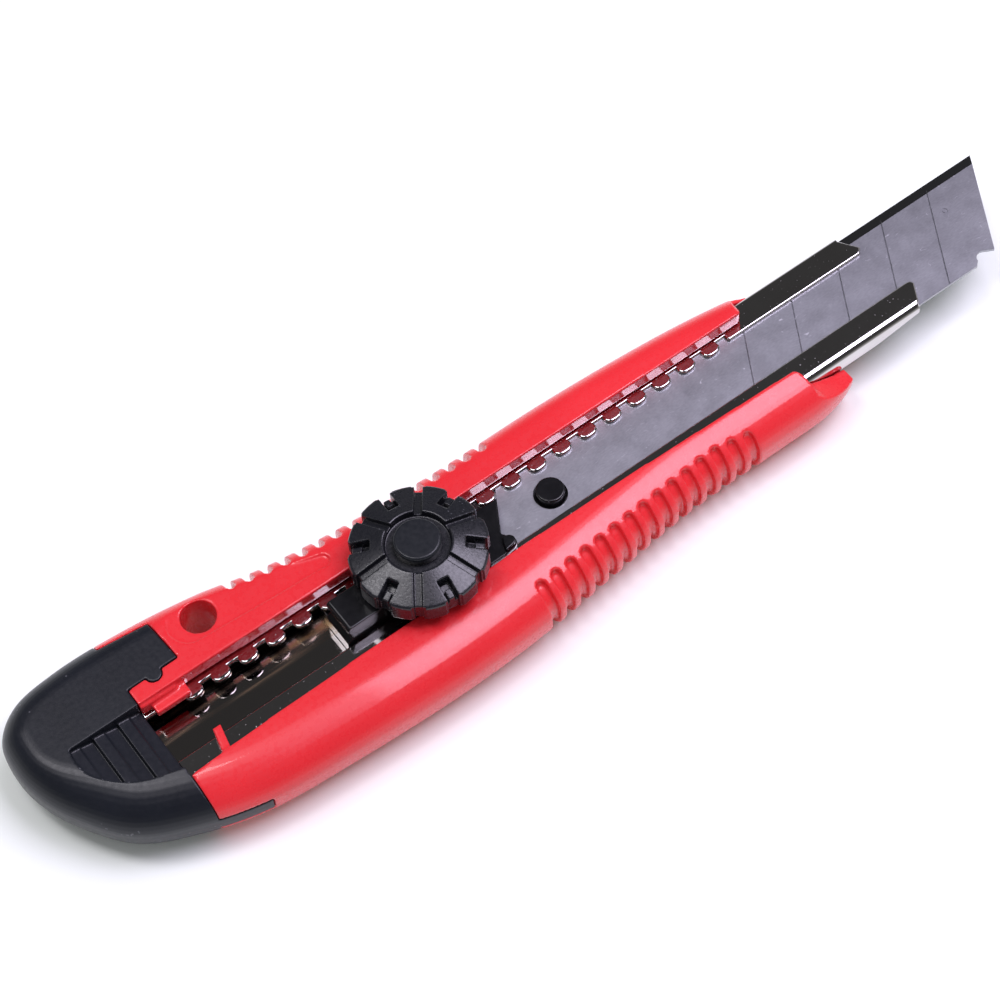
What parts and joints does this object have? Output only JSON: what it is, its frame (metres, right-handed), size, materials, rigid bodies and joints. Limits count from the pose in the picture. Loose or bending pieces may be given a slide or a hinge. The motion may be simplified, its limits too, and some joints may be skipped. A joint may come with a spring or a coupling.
{
  "type": "snap off knife",
  "caption": "Wide-blade snap-off knife: moulded handle round a toothed steel channel, sliding blade carrier clamped by a lock wheel, pull-off end cap.",
  "frame": {"origin": "on the flat of the handle's back, straight below the lock wheel's axis at rest", "axes": "+X along the blade to its tip, +Y across to the cutting edge and the lanyard hole, +Z out of the face, along the lock wheel's axis"},
  "size_m": [0.1878, 0.0396, 0.0209],
  "materials": {
    "body_red": "glossy moulded ABS, slightly translucent red",
    "cap_black": "satin moulded plastic, blue-black",
    "channel_steel": "bright nickel-plated sheet steel, polished",
    "blade_steel": "satin ground carbon steel, lightly oiled",
    "slider_black": "glossy moulded acetal, black",
    "fastener_steel": "zinc-plated steel",
    "wheel_black": "fine spark-textured moulded plastic, black",
    "disc_black": "smooth satin moulded plastic, black"
  },
  "bodies": {
    "handle": {"handle_body": "body_red", "blade_channel": "channel_steel"},
    "carrier": {"blade_slider": "slider_black", "snap_blade": "blade_steel", "thrust_washer": "fastener_steel"},
    "wheel": {"lock_wheel": "wheel_black", "wheel_nut": "fastener_steel", "wheel_cap": "disc_black"},
    "bolt": {"clamp_bolt": "fastener_steel"},
    "cap": {"end_cap": "cap_black"}
  },
  "joints": [
    {"name": "blade_travel", "type": "slide", "parent": "handle", "child": "carrier", "axis": [1, 0, 0], "range_m": [-0.03, 0.045]},
    {"name": "wheel_turn", "type": "hinge", "parent": "carrier", "child": "wheel", "pos_m": [0, 0, 0.015], "axis": [0, 0, 1], "range_deg": [-120, 180.5]},
    {"name": "bolt_lift", "type": "slide", "parent": "carrier", "child": "bolt", "axis": [0, 0, 1], "range_m": [-0.0004, 0.000266]},
    {"name": "cap_pull", "type": "slide", "parent": "handle", "child": "cap", "axis": [-1, 0, 0], "range_m": [0, 0.025]}
  ],
  "couplings": [
    {"joint": "wheel_turn", "follows": "bolt_lift", "rad_per_m": -7854}
  ]
}
